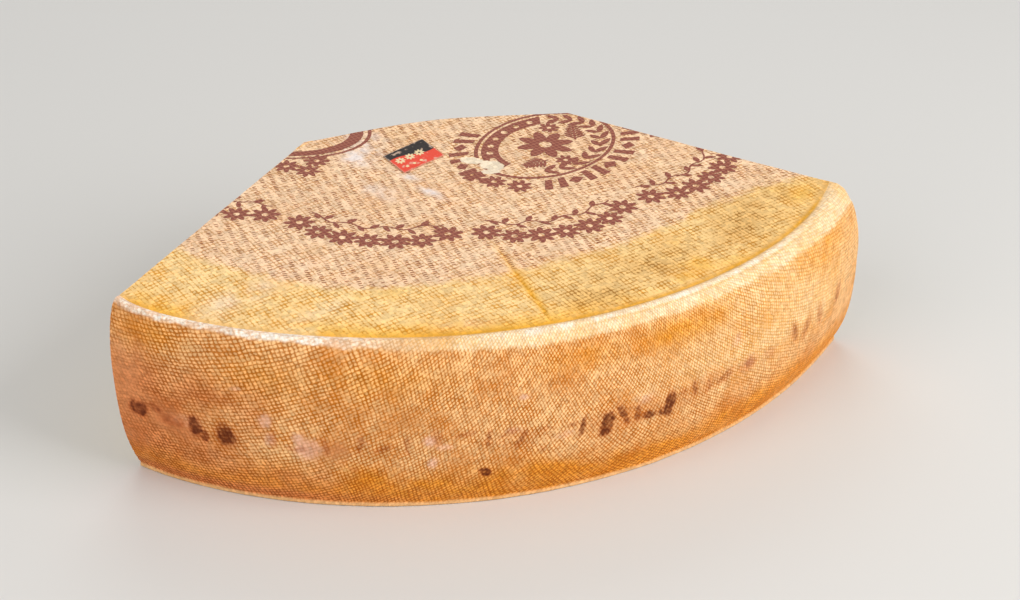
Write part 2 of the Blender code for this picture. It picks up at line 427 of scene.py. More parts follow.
drawn_line = line * np.exp(-((to_crease - 0.4) / 1.5) ** 2) * (0.75 + 0.4 * ragged(x, y, 9, 76))
fold_line = folded * np.exp(-((beside + 0.2) / 0.9) ** 2) * (0.8 + 0.6 * ragged(x, y, 3, 74))
drawn_line = np.maximum(drawn_line, fold_line)
golden = np.maximum(golden, 0.7 * folded * np.exp(-(beside / 3) ** 2))
golden = np.maximum(golden, 0.7 * blot(x, y, (190, -178), (13, 8), math.radians(45)))
golden = np.maximum(golden, 0.6 * ease(ragged(x, y, 30, 77), 0.15, 0.8) * (1 - printed))
smeared = smear_share(x, y)
BLEACHED = ((-135, -205, 34, 9, 28, 0.30), (-105, -232, 20, 6, 24, 0.22), (-30, -262, 16, 5, 0, 0.18))
bleached = patches(x, y, BLEACHED)
smeared = np.maximum(smeared, bleached * (0.6 + 0.8 * ragged(x, y, 7, 78)))
torn = torn_share(x, y)
ticks = printed * (1 - 0.85 * smeared) * (1 - torn) * (0.85 + 0.35 * ragged(x, y, 20, 79))
ticks = ticks * ease(printed, 0.4, 0.9)
phases = top_phases(x, y)
top_points = from_axis(x, y, z)
piece = mesh_piece(
    "rind_top", top_points, grid_faces(*x.shape),
    {"weave": (*phases, weave_strength(x, y)), "zones": np.clip((printed, olive, golden), 0, 1),
     "marks": np.clip((smeared, torn, ticks), 0, 1), "lines": np.clip((drawn_line,), 0, 1)},
    top_rind)
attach(piece, "root")


# The rim and the curved side: the ridge outside the groove, the rounded shoulder, the bulging wall
# with the cloth's print at its deepest, and the thin lip where the cheese stood on its board.
# Mould has dusted the rim white, brine and rubbing have left tan and pink worn places on the wall.
BULGE_RADIUS = 286.0
BULGE_DRIFT = 4.8
BULGE_HEIGHT = 60.0
SHOULDER_POWER = 2.05
RIDGE_OFFSET = 3.0
FOOT_RADIUS = 277.0
FOOT_DRIFT = 1.0
FOOT_PINCH = (5.0, math.radians(10))
FOOT_FLARE = (4.5, math.radians(9))
SIDE_POWER = 3.0
SIDE_WAVE = 0.3
SIDE_WAVE_COUNT = 9
LIP_HEIGHT = 2.4
LIP_DEPTH = 0.45
LIP_ROUND = 0.6
SIDE_COLUMNS = 940
GROOVE_ROWS = 6
SHOULDER_ROWS = 88
WALL_ROWS = 112
SIDE_RELIEF = 0.4
SECOND_LINE = 6.6        # how far outside the groove a second fine line runs over the rim
PER_TURN = math.radians(1) * BULGE_RADIUS
# How low the pale band of the rim reaches, as rows of turn and height.
RIM_BAND = ((-45, 98.6), (-40, 98.8), (-34, 98.4), (-28, 97.8), (-21, 97.4), (-10, 95.8), (1, 93.8),
            (7, 93.8), (13, 94.0), (19, 94.2), (26, 94.0), (35, 93.4), (42, 92.8), (52, 92.6))
SIDE_WEAVE = ((-46, 0.431, 0.229, 0.01, -0.50), (-40, 0.42, 0.222, 0.02, -0.495),
              (-35, 0.396, 0.202, 0.043, -0.486), (-28, 0.406, 0.181, 0.115, -0.462),
              (-21, 0.437, 0.159, 0.211, -0.453), (-16, 0.475, 0.11, 0.267, -0.463),
              (-10, 0.513, 0.118, 0.358, -0.458), (-4, 0.517, 0.158, 0.411, -0.411),
              (2, 0.509, 0.259, 0.45, -0.352), (9, 0.458, 0.358, 0.436, -0.294),
              (16, 0.471, 0.471, 0.552, -0.148), (24, 0.34, 0.524, 0.571, -0.02),
              (32, 0.18, 0.495, 0.498, 0.044), (42, 0.087, 0.492, 0.499, 0.026),
              (52, 0.0, 0.5, 0.5, 0.0))   # turn, then the threads of each set in a mm, around and up

angles = np.linspace(-CUT_HALF_ANGLE, CUT_HALF_ANGLE, SIDE_COLUMNS + 1)
turns = turn_of(*meet_circle(angles, CREASE_RADIUS, HEIGHT))
drift = turns / DRIFT_ANGLE
crease = crease_radius(turns)
ridge = crease + RIDGE_OFFSET
bulge = BULGE_RADIUS + BULGE_DRIFT * drift
foot = FOOT_RADIUS + FOOT_DRIFT * drift - FOOT_PINCH[0] * np.exp((LEFT_END - turns) / FOOT_PINCH[1])
foot = foot + FOOT_FLARE[0] * np.exp((turns - RIGHT_END) / FOOT_FLARE[1])
rows = []
for step in range(GROOVE_ROWS):
    offset = 2 * step / GROOVE_ROWS
    radius = crease + offset * CREASE_WIDTH
    low = smooth_top(*meet_circle(angles, radius, HEIGHT))
    level = low + (HEIGHT - low) * ease(offset / 2) - crease_depth(turns) * math.exp(-offset ** 2)
    rows.append((radius, level))
for step in range(SHOULDER_ROWS + 1):
    part = math.pi / 2 * step / SHOULDER_ROWS
    out = max(math.sin(part), 0.0) ** (2 / SHOULDER_POWER)
    up = max(math.cos(part), 0.0) ** (2 / SHOULDER_POWER)
    rows.append((ridge + (bulge - ridge) * out, BULGE_HEIGHT + (HEIGHT - BULGE_HEIGHT) * up + 0 * turns))
for step in range(1, WALL_ROWS + 1):
    fall = step / WALL_ROWS
    neck = foot - LIP_DEPTH
    rows.append((bulge - (bulge - neck) * fall ** SIDE_POWER,
                 BULGE_HEIGHT + (LIP_HEIGHT - BULGE_HEIGHT) * fall + 0 * turns))
for inset, level in ((0.25, 0.85), (0.08, 0.7), (0.0, 0.5), (0.0, 0.3), (0.0, 0.1), (LIP_ROUND, 0.0)):
    rows.append((foot - inset, LIP_HEIGHT * level + 0 * turns))
radius = np.array([row[0] for row in rows])
z = np.array([row[1] for row in rows])
rise = z / HEIGHT
radius = radius + SIDE_WAVE * np.sin(math.pi * rise) * np.sin(SIDE_WAVE_COUNT * turns + math.pi * rise)
x, y = meet_circle(angles, radius, z)
smooth = np.stack((x, y, z), axis=-1)
lengths = np.linalg.norm(np.diff(smooth, axis=0), axis=-1)
from_crease = np.vstack((np.zeros(len(angles)), np.cumsum(lengths, axis=0)))
up = from_crease[-1] - from_crease
turn = np.degrees(turn_of(x, y))
around = np.radians(turn) * BULGE_RADIUS

fine = np.linspace(-46, 52, 400)
table = np.array(SIDE_WEAVE)
side_phases = []
for number in (1, 3):
    run = np.cumsum(np.interp(fine, table[:, 0], table[:, number]))
    run *= (fine[1] - fine[0]) * math.radians(1) * BULGE_RADIUS
    climb = np.interp(turn, table[:, 0], table[:, number + 1])
    slack = 0
    for loose, size, seed in ((0.35, 24, 81), (0.2, 7, 85), (0.12, 2.6, 87)):
        slack = slack + loose * lattice_noise(around, up, size, seed + number)
    side_phases.append(np.interp(turn, fine, run) + climb * (up - 55) + slack + 300)

rim_edge = np.interp(turn, [row[0] for row in RIM_BAND], [row[1] for row in RIM_BAND])
ridge_edge = rim_edge - 0.8 * ragged(around, up, 7, 91) - 0.6 * ragged(around, up, 2, 90)
ridge_share = ease(z - ridge_edge, -2.0, 1.2)
ridge_share[from_crease < 2] = 1
rim = ridge_share * ease(turn + 4 * ragged(around, up, 12, 92), -24, -4)
white = ease(z - rim_edge + 1.2 * ragged(around, up, 9, 94), -1.0, 1.0) * (1 - ease(turn, -24, -12))
mould = 0.6 * ragged(around, up, 6, 93) + 0.9 * ragged(around, up, 1.3, 96)
white = 1.1 * white * (0.4 + 0.6 * ease(mould, -0.4, 0.5))
crest = 0.8 * ease(turn, -8, 2) * (1 - ease(turn, 30, 42)) * np.exp(-((from_crease - 4.6) / 2.6) ** 2)
mould = ragged(around, up, 8, 110) + 0.6 * ragged(around, up, 1.6, 112)
white = np.maximum(white, crest * (0.35 + 0.6 * ease(mould, -0.4, 0.5)))
yellow_line = ease(turn, 2, 9) * (1 - ease(turn, 32, 46))
yellow_line = yellow_line * np.exp(-((from_crease - SECOND_LINE) / 0.9) ** 2)
gold_line = ease(turn, -18, -6) * (1 - 0.85 * ease(turn, 43, 49)) * np.exp(-(from_crease / 1.3) ** 2)
WORN = ((-44, 58, 17, 26, 0, 1.0), (-38.5, 43, 18, 9, -15, 1.0), (-44, 28, 12, 12, 0, 0.7),
        (-27.8, 53, 3.4, 4.0, 0, 0.6), (-24.3, 42, 6, 6, 0, 0.5), (-20.6, 38, 9, 7, 15, 0.7),
        (-10.6, 43, 6, 5, 0, 0.5))
worn = patches(around, z, WORN, PER_TURN)
worn = 0.75 * ease(worn + 0.2 * ragged(around, z, 6, 95) + 0.1 * ragged(around, z, 2, 98), 0.0, 1.0)
PINK = ((-28.0, 53, 3.2, 4.2, 0, 1.0), (-27.6, 42, 3.6, 5.0, 0, 0.6), (-24.6, 44, 4.0, 4.5, 0, 0.8),
        (-23.6, 38.5, 8.0, 7.0, 0, 0.9), (-17.6, 43, 3, 4, 0, 0.3), (-11.2, 45, 3.5, 4.0, 0, 0.8),
        (-9.6, 41, 5, 2.6, 0, 0.6), (-10.9, 31, 3.2, 5, 0, 0.65), (-1.6, 67, 3.4, 2, 0, 0.6),
        (3, 40, 8, 4, 0, 0.35), (12, 51, 9, 4, 0, 0.4), (24, 66, 5, 5, 0, 0.45),
        (-37, 45, 12, 5, 0, 0.3), (-31, 70, 4, 2, 0, 0.35),
        (26, 47, 8, 7, 0, 0.4), (-2.5, 48, 6, 3, 0, 0.4))
pink = patches(around, z, PINK, PER_TURN)
pink = ease(pink + 0.15 * ragged(around, z, 3, 97) * ease(pink, 0.05, 0.3), 0.08, 0.75)
STAMPS = ((-42.2, 45.6, 5.0, 4.2, 10, 0.8), (-40.2, 48.5, 3.4, 2.0, -15, 0.5),
          (-38.3, 43.0, 6.0, 2.8, 0, 0.35), (-35.7, 43.5, 3.0, 5.2, 25, 0.85),
          (-34.7, 38.0, 2.2, 3.4, 5, 0.65), (-32.3, 40.6, 4.2, 5.8, 15, 1.0),
          (-27.2, 43, 1.4, 4.6, 0, 0.35), (-24.8, 38, 4.6, 1.5, 0, 0.35), (-21.8, 41, 1.6, 4.6, 10, 0.35),
          (-18.3, 43, 1.5, 4.6, -8, 0.4), (-16.0, 40, 4.0, 1.6, 20, 0.35), (-13.5, 42, 1.5, 4.4, 0, 0.35),
          (-10.4, 47, 2.0, 4.4, 15, 0.35), (-7.6, 48, 4.4, 1.5, 10, 0.35), (-5.2, 45, 1.4, 4.6, -10, 0.45),
          (-3.2, 46, 3.2, 1.4, 20, 0.45), (-1.8, 42, 1.4, 5.4, -28, 0.55), (0.8, 46, 3.0, 1.4, 0, 0.35),
          (-5.4, 22.4, 2.2, 2.2, 0, 0.8), (4.8, 43, 1.6, 5.0, -15, 0.7), (3.7, 45.5, 2.0, 1.2, 20, 0.5),
          (7.6, 41.5, 3.4, 6.4, -10, 1.0), (9.4, 44.5, 1.6, 6.4, 25, 0.7), (-2, 42, 16, 4.5, 0, 0.08),
          (10, 43, 22, 5.5, 0, 0.16), (19, 45, 14, 5, 10, 0.16), (9.3, 47, 1.8, 4.4, 20, 0.5),
          (11.2, 43, 1.8, 4.6, 8, 0.55), (12.6, 40, 4.2, 2.2, 0, 0.7), (15.2, 43.0, 3.0, 6.0, -5, 1.0),
          (14.6, 39.5, 3.6, 2.6, 20, 0.8),
          (16.9, 46.5, 2.0, 2.6, 40, 0.4), (18.4, 45.5, 1.6, 4.6, 10, 0.55), (20.2, 45, 1.4, 4.2, -6, 0.4),
          (22.6, 46, 6.0, 2.8, 25, 0.45), (26.0, 47, 5.0, 3.4, 10, 0.4), (29.5, 47, 4.4, 3.0, -15, 0.3),
          (34.0, 50, 2.4, 6.0, 20, 0.5), (36.4, 47, 2.6, 5.4, -15, 0.45), (39.4, 48, 2.4, 6.0, 15, 0.45),
          (43.8, 52, 2.6, 5.0, -10, 0.45), (-19.0, 27, 2.0, 1.6, 0, 0.3), (0.5, 33, 1.6, 1.4, 0, 0.3))
stamp = np.zeros_like(turn)
bled_around = around + 1.3 * ragged(around, z, 5.0, 201)
bled_up = z + 1.3 * ragged(around, z, 5.0, 203)
for at, level, wide, tall, angle, amount in STAMPS:
    middle = (at * PER_TURN, level)
    mark = ease(blot(bled_around, bled_up, middle, (1.4 * wide, 1.35 * tall), math.radians(angle)), 0.1, 0.75)
    stamp = np.maximum(stamp, min(1.0, 0.15 + amount) * mark)
stamp = stamp * (0.9 + 0.3 * ragged(around, z, 1.7, 99))
# The lower wall is orange: partly the rind's own colour, partly painted warm bounce light from below that
# brightens and saturates it.
orange_and_bounce_light = 1 - ease(z + 8 * ragged(around, z, 22, 101), 12, 34)
orange_and_bounce_light = np.clip(orange_and_bounce_light * (0.95 + 0.3 * ragged(around, z, 10, 103)), 0, 1)
AMBER = ((5, 83, 24, 8, 0, 0.6), (17, 84, 32, 8, 0, 0.9), (41, 86, 34, 12, 0, 0.7), (-41, 91, 20, 8, 0, 0.8),
         (-16, 80, 34, 12, 0, 0.5), (-28, 76, 30, 12, 0, 0.5), (28, 72, 30, 8, 0, 0.3))
amber = patches(around, z, AMBER, PER_TURN)
amber = np.clip(amber * (1.0 + 0.4 * ragged(around, z, 9, 104)), 0, 1)
dry = ease(turn + 6 * ragged(around, z, 18, 106), 2, 34) * ease(z, 22, 62) * (1 - 0.45 * ease(turn, 40, 49))
# Ruddy brown on the left of the wall. Within about 11 mm of the floor it is made stronger as painted shade at
# the foot.
ruddy_and_foot_shade = 1 - ease(turn + 5 * ragged(around, z, 16, 108) - 16 * (1 - ease(z, 8, 34)), -44, -22)
ruddy_and_foot_shade = ruddy_and_foot_shade * (1 - 0.8 * ease(z, 62, 88)) * (0.45 + 0.55 * ease(z, 12, 30) + 0.5 * (1 - ease(z, 5, 11)))
lip = 1 - ease(z + 0.3 * ragged(around, z, 9, 105), 1.4, 2.8)
strength = (1 - 0.35 * ridge_share) * (1 - 0.95 * worn) * (1 - 0.4 * pink) * (1 - 0.9 * lip)
strength = strength * (0.85 + 0.15 * ragged(around, up, 18, 107)) * (1 - 0.3 * ease(turn, 24, 40))
strength = strength * ease(from_crease, 0.2, 3.5)

inward = SIDE_RELIEF * strength * (1 - pillow(side_phases))
inward += 0.15 * yellow_line + 0.25 * rim * (1 + ragged(around, up, 3.2, 109)) * ease(from_crease, 0.5, 3)
inward += 0.15 * (1 + ragged(around, up, 24, 111)) * ease(from_crease, 1, 8)
inward += 0.2 * lip * (1 + ragged(around, up, 5, 113)) * ease(z, 0.05, 0.5)
normal = np.cross(np.gradient(smooth, axis=1), np.gradient(smooth, axis=0))
normal /= np.linalg.norm(normal, axis=-1, keepdims=True)
if normal[SHOULDER_ROWS, SIDE_COLUMNS // 2, 1] > 0:
    normal = -normal
relief = smooth - normal * inward[..., None]
relief[-1, :, 2] = 0.0
side_points = from_axis(relief[..., 0], relief[..., 1], relief[..., 2])

SIDE_LAYERS = (
    ("", 0, "#bc6600", "#ffcf92"),
    ("bloom", 2, "#d89640", "#ffd9a6"),
    ("warmth", 0, "#c47000", "#fbb04a"),
    # orange of the lower wall, partly painted warm bounce light from below
    ("zones", 1, "#b86200", "#ffac40"),
    # ruddy brown, which near the floor is also painted shade at the foot
    ("warmth", 1, "#9e4c12", "#ef985a"),
    ("zones", 0, "#e2ac5c", "#ffeac8"),
    ("zones", 2, "#bb6a36", "#e69c68"),
    ("marks", 1, "#c47c48", "#ffd2b4"),
    ("bloom", 0, "#f4dcc0", "#fffaf0"),
    ("bloom", 1, "#cd8c14", "#f6ba4c"),
    ("marks", 2, "#d39a5c", "#f3c48c"),
)
side_finish = cloth_pressed_rind("washed_rind_side", SIDE_LAYERS, (0.05, 0.8), 1.1, 0.5)
side_rind, tree, shader, painted, masks = side_finish
place = add(tree, "TexCoord").outputs["Object"]
wear = add(tree, "TexNoise", {"Vector": place, "Scale": 1000 / 2.2, "Detail": 4.0})
wear = add(tree, "MapRange",
           {"Value": wear, "From Min": 0.3, "From Max": 0.6, "To Min": 0.82, "To Max": 1.0})
ink = add(tree, "Math", {0: masks["marks"].outputs[0], 1: wear}, operation="MULTIPLY")
glazed = add(tree, "Mix", {0: ink, 6: painted, 7: colour("#cf9a72")}, data_type="RGBA",
             blend_type="MULTIPLY")
dark = add(tree, "MapRange", {"Value": ink, "From Min": 0.35, "From Max": 1.0, "To Max": 0.8}, **SMOOTH)
inked = add(tree, "Mix", {0: dark, 6: glazed, 7: colour("#4a1c0a")}, data_type="RGBA")
feed(tree, shader, {"Base Color": inked})
lines = np.clip(np.maximum(0.45 * yellow_line, gold_line), 0, 1)
piece = mesh_piece(
    "rind_side", side_points, grid_faces(*turn.shape),
    {"weave": (*side_phases, strength), "zones": (rim, orange_and_bounce_light, worn),
     "marks": (np.clip(stamp, 0, 1), pink, lip),
     "bloom": (np.clip(white, 0, 1), lines, dry), "warmth": (amber, ruddy_and_foot_shade)},
    side_rind)
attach(piece, "root")
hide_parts("cheese")


# The underside: flat rind with the same print of the cloth, worn darker by the shelf that it aged on.
BASE_ROWS = 110
BASE_LAYERS = (
    ("", 0, "#b9813c", "#deb074"),
    ("zones", 0, "#a36a2c", "#c99555"),
)
base_rind = cloth_pressed_rind("washed_rind_base", BASE_LAYERS, (0.15, 0.55), 1.1, 0.3)[0]
inner = meet_nose(angles, 0.0)
share = (np.arange(BASE_ROWS + 1) / BASE_ROWS)[:, None]
edge = relief[-1]
x = inner[0] + (edge[:, 0] - inner[0]) * share
y = inner[1] + (edge[:, 1] - inner[1]) * share
phases = top_phases(x, y)
shelf_stain = ease(ragged(x, y, 30, 121), -0.1, 0.6)
base_points = from_axis(x, y, np.zeros_like(x))
piece = mesh_piece(
    "rind_base", base_points, grid_faces(*x.shape, flip=True),
    {"weave": (*phases, 0.8 + 0 * x), "zones": (shelf_stain,)},
    base_rind)
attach(piece, "root")


# The three knife cuts, where the ivory paste of the cheese shows: dense and slightly waxy, with a
# darker line under the rind, a few small eyes and the faint drag lines of the knife.
CUT_RINGS = 56
NOSE_ROWS = 100
NOSE_COLUMNS = 120
EYES = {"cut_left": ((-92, 60, 2.4), (-128, 38, 3.1), (-150, 66, 1.8), (-182, 48, 2.6), (-66, 30, 1.7)),
        "cut_right": ((104, 44, 2.8), (146, 64, 2.0), (171, 37, 3.2), (128, 28, 1.6)),
        "cut_nose": ((-8, 55, 2.2), (34, 38, 2.7), (52, 66, 1.6))}       # across, height, radius


PASTE_CLOUD = 28.0       # where the paste is a little yellower
PASTE_GRAIN = 2.2        # crumbs of the curd
DRAG_SPACING = 1.4       # lines that the knife's edge dragged along the cut
DRAG_LENGTH = 26.0


def cut_paste(name):
    """Pressed mountain cheese, cut with a long knife: pale and smooth, browner towards the rind."""
    material, tree, shader = new_finish(name)
    stored = add(tree, "Attribute", attribute_name="paste")
    parts = add(tree, "SeparateXYZ", {0: stored.outputs["Vector"]})
    place = add(tree, "TexCoord").outputs["Object"]
    cloud, grain = [
        add(tree, "TexNoise", {"Vector": place, "Scale": 1000 / size, "Detail": detail, "Roughness": rough})
        for size, detail, rough in ((PASTE_CLOUD, 5.0, 0.6), (PASTE_GRAIN, 4.0, 0.7))]
    stretch = (1000 / DRAG_LENGTH, 1000 / DRAG_LENGTH, 1000 / DRAG_SPACING)
    streaks = add(tree, "Mapping", {"Vector": place, "Scale": stretch})
    drag = add(tree, "TexNoise", {"Vector": streaks, "Scale": 1.0, "Detail": 2.0})
    inside = add(tree, "Mix", {0: cloud, 6: colour("#f0cd86"), 7: colour("#fde3b0")}, data_type="RGBA")
    wander = add(tree, "Math", {0: cloud, 1: 3.0, 2: -1.5}, operation="MULTIPLY_ADD")
    depth = add(tree, "Math", {0: parts.outputs[0], 1: wander}, operation="ADD")
    under = add(tree, "MapRange", {"Value": depth, "From Min": 9.0, "From Max": 1.5}, **SMOOTH)
    darker = add(tree, "Mix", {0: under, 6: inside, 7: colour("#cfa264")}, data_type="RGBA")
    skin = add(tree, "MapRange", {"Value": parts.outputs[0], "From Min": 2.2, "From Max": 0.7}, **SMOOTH)
    skinned = add(tree, "Mix", {0: skin, 6: darker, 7: colour("#a9713a")}, data_type="RGBA")
    shade = {"Value": drag, "From Min": 0.3, "From Max": 0.7, "To Min": 0.96, "To Max": 1.04}
    shade = add(tree, "MapRange", shade, clamp=False)
    shaded = add(tree, "VectorMath", {0: skinned, "Scale": shade}, operation="SCALE")
    # Inside the eyes the paste is painted darker, as painted shade in the hollows.
    eye_shade = add(tree, "Mix", {0: parts.outputs[1], 6: shaded, 7: colour("#c79a56")}, data_type="RGBA")
    gloss = add(tree, "MapRange", {"Value": grain, "To Min": 0.32, "To Max": 0.6})
    rough = add(tree, "Math", {0: grain, 1: drag}, operation="ADD")
    bump = add(tree, "Bump", {"Height": rough, "Strength": 0.35, "Distance": 0.0003})
    feed(tree, shader, {"Base Color": eye_shade, "Roughness": gloss, "Normal": bump,
                        "Subsurface Weight": 0.12, "Subsurface Radius": (0.006, 0.004, 0.002)})
    return material


def carve(name, points, normal, rind):
    """Cuts the eyes and knife lines into a face, measures how far each point lies under the rind, and gives
    the share of painted shade inside the eyes.
    """
    across = points[..., 0]
    height = points[..., 2]
    sunk = 0.06 * (1 + np.sin(height / 1.1 + 2.5 * lattice_noise(across, height, 30, 131)))
    sunk += 0.25 * (1 + ragged(across, height, 45, 133))
    # This mask marks the inside of each eye, where the paste is painted darker as shade.
    eye_shade = np.zeros_like(across)
    for at, level, radius in EYES[name]:
        bowl = np.clip(1 - ((across - at) ** 2 + (height - level) ** 2) / radius ** 2, 0, 1)
        sunk = sunk + 0.9 * radius * np.sqrt(bowl)
        eye_shade = np.maximum(eye_shade, ease(bowl, 0, 0.6))
    flat = points.reshape(-1, 3)
    under = np.full(len(flat), 1e9)
    for start in range(0, len(flat), 4000):
        gap = flat[start:start + 4000, None, :] - rind[None, ::2, :]
        under[start:start + 4000] = np.sqrt((gap ** 2).sum(-1).min(1))
    under = under.reshape(across.shape)
    sunk = sunk * ease(under, 0.2, 3.0)
    carved = points - normal * sunk[..., None]
    return carved, under, eye_shade * ease(under, 0.5, 3)


paste = cut_paste("cut_paste")
for name, column in (("cut_left", 0), ("cut_right", -1)):
    top_line = top_points[:, column] * 1000
    side_line = side_points[1:, column] * 1000
    base_line = base_points[-2::-1, column] * 1000
    heights = np.linspace(0, HEIGHT, NOSE_ROWS + 1)[1:-1]
    nose = meet_nose(np.full(len(heights), CUT_HALF_ANGLE * (1 if column else -1)), heights)
    nose_line = np.stack((AXIS[0] + nose[0], AXIS[1] + nose[1], heights * top_line[0, 2] / HEIGHT), axis=-1)
    outline = np.vstack((top_line, side_line, base_line, nose_line))
    rind = np.vstack((top_line, side_line, base_line))
    near = (top_line[0] + base_line[-1]) / 2
    far = side_line[len(side_line) // 2]
    inset = np.linalg.norm(far - near)
    head = near + (far - near) * 50 / inset
    tail = near + (far - near) * (1 - 50 / inset)
    run = tail - head
    share = np.clip(((outline - head) @ run) / (run @ run), 0, 1)
    spine = head + share[:, None] * run
    inwards = (np.arange(CUT_RINGS + 1) / CUT_RINGS)[:, None, None] ** 1.15
    rings = outline + (spine - outline) * inwards
    rings = np.concatenate((rings, rings[:, :1]), axis=1)
    lean = np.cross(side_line[-1] - near, top_line[0] - base_line[-1])
    normal = lean / np.linalg.norm(lean)
    outwards = normal if (normal[0] < 0) == (column == 0) else -normal
    carved, under, eye_shade = carve(name, rings, outwards, rind)
    carved[0] = rings[0]
    piece = mesh_piece(
        name, carved / 1000, grid_faces(*under.shape, flip=column == 0),
        {"paste": (under, eye_shade)},
        paste)
    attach(piece, "root")

angles = np.linspace(-CUT_HALF_ANGLE, CUT_HALF_ANGLE, NOSE_COLUMNS + 1)
heights = (np.arange(NOSE_ROWS + 1) / NOSE_ROWS)[:, None] * HEIGHT
x, y = meet_nose(angles + 0 * heights, heights + 0 * angles)
upper = np.interp(angles, np.linspace(-CUT_HALF_ANGLE, CUT_HALF_ANGLE, TOP_COLUMNS + 1),
                  top_points[0, :, 2] * 1000)
points = np.stack((AXIS[0] + x, AXIS[1] + y, heights * upper / HEIGHT), axis=-1)
carved, under, eye_shade = carve("cut_nose", points, np.array((0.0, 1.0, 0.0)),
                              np.vstack((points[0], points[-1])))
carved[0] = points[0]
carved[-1] = points[-1]
carved[:, 0] = points[:, 0]
carved[:, -1] = points[:, -1]
piece = mesh_piece(
    "cut_nose", carved / 1000, grid_faces(*under.shape, flip=True),
    {"paste": (under, eye_shade)},
    paste)
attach(piece, "root")


# The printed garland: brown food ink laid on the beige face, a ring of eight-petalled flowers in
# groups, with a thin leafy vine on the inner side of each group. The ink is a film on the cells.
INK_LIFT = 0.12
INK_STEP = 0.32
INK_GRAIN = 1.8          # crumbs of rind that stayed bare under the printing roller
RING_CENTRE = (30.0, 16.0)
RING_RADIUS = 190.0
FLOWER_RADIUS = 8.8
FLOWER_GAP = math.radians(4.1)
GROUP_GAP = math.radians(30.9)
GROUP_MIDDLE = math.radians(5.4)
GROUP_FLOWERS = 7
GROUP_ARCH = 10.0
VINE_GAP = 15.0


def flower(x, y, radius, spin):
    """How far inside an eight-petalled flower a place is, in millimetres."""
    reach = np.hypot(x, y)
    sector = (np.arctan2(y, x) - spin + math.pi / 8) % (math.pi / 4) - math.pi / 8
    out = reach * np.cos(sector)
    share = np.clip((out - 0.1 * radius) / (0.9 * radius), 0, 1)
    half = 0.57 * radius * share ** 0.8 * (1 - share) ** 0.7
    petal = np.where(out < radius, half, -1) - reach * np.abs(np.sin(sector))
    heart = 0.36 * radius - reach
    return np.minimum(np.maximum(petal, heart), reach - 0.22 * radius)


def leaf(x, y, root, tip, width):
    """How far inside a pointed leaf a place is."""
    length = math.hypot(tip[0] - root[0], tip[1] - root[1])
    ux = (tip[0] - root[0]) / length
    uy = (tip[1] - root[1]) / length
    out = ((x - root[0]) * ux + (y - root[1]) * uy) / length
    aside = np.abs((y - root[1]) * ux - (x - root[0]) * uy)
    share = np.clip(out, 0, 1)
    return np.where((out > 0) & (out < 1), width * 2 * share ** 0.8 * (1 - share) ** 0.9, -1) - aside


def stem(x, y, places, width):
    """How far inside a thin line through some places a place is."""
    nearest = np.full(np.shape(x), 1e9)
    for (ax, ay), (bx, by) in zip(places, places[1:]):
        run = (bx - ax) ** 2 + (by - ay) ** 2
        share = np.clip(((x - ax) * (bx - ax) + (y - ay) * (by - ay)) / run, 0, 1)
        nearest = np.minimum(nearest, np.hypot(x - ax - share * (bx - ax), y - ay - share * (by - ay)))
    return width - nearest


def inside_cuts(x, y):
    """How far inside the knife cuts a place on the top is."""
    px = x - APEX[0]
    py = y - APEX[1]
    left = direction(-CUT_HALF_ANGLE)
    right = direction(CUT_HALF_ANGLE)
    from_left = left[0] * py - left[1] * px
    from_right = right[1] * px - right[0] * py
    angle = np.arctan2(px, -py)
    nose = meet_nose(np.clip(angle, -CUT_HALF_ANGLE, CUT_HALF_ANGLE), HEIGHT)
    from_nose = np.hypot(px, py) - np.hypot(nose[0] - APEX[0], nose[1] - APEX[1])
    return np.minimum(np.minimum(from_left, from_right), from_nose)


def ink_film(drawings, step):
    """Points and faces of a thin film over the top, the shape of each drawing's inside. A drawing is its
    box, what says how far inside it a place is, and the way from its own places to the top."""
    points = []
    faces = []
    for (x0, x1, y0, y1), inside, to_top in drawings:
        xs = np.arange(x0, x1 + step, step)
        ys = np.arange(y0, y1 + step, step)
        gx, gy = np.meshgrid(xs, ys, indexing="ij")
        tx, ty = to_top(gx, gy)
        field = np.minimum(inside(gx, gy), inside_cuts(tx, ty) - 0.4)
        known = {}

        def corner(i, j):
            if (i, j) not in known:
                known[(i, j)] = len(points)
                points.append((tx[i, j], ty[i, j]))
            return known[(i, j)]

        def crossing(a, b):
            key = (min(a, b), max(a, b))
            if key not in known:
                share = field[a] / (field[a] - field[b])
                known[key] = len(points)
                points.append((tx[a] + (tx[b] - tx[a]) * share, ty[a] + (ty[b] - ty[a]) * share))
            return known[key]

        touched = (field[:-1, :-1] > 0) | (field[1:, :-1] > 0) | (field[1:, 1:] > 0) | (field[:-1, 1:] > 0)
        for i, j in np.argwhere(touched):
            loop = ((i, j), (i + 1, j), (i + 1, j + 1), (i, j + 1))
            face = []
            for a, b in zip(loop, loop[1:] + loop[:1]):
                if field[a] > 0:
                    face.append(corner(*a))
                if (field[a] > 0) != (field[b] > 0):
                    face.append(crossing(a, b))
            if len(face) > 2:
                faces.append(face)
    return np.array(points), faces


def ink_piece(name, drawings, material):
    places, faces = ink_film(drawings, INK_STEP)
    x = places[:, 0]
    y = places[:, 1]
    phases = top_phases(x, y)
    points = from_axis(x, y, top_surface(x, y) + INK_LIFT)
    piece = mesh_piece(name, points, faces, {"weave": (*phases, weave_strength(x, y))}, material)
    mesh = piece.data
    if sum(polygon.normal.z < 0 for polygon in mesh.polygons) > len(mesh.polygons) / 2:
        mesh.flip_normals()
    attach(piece, "root")


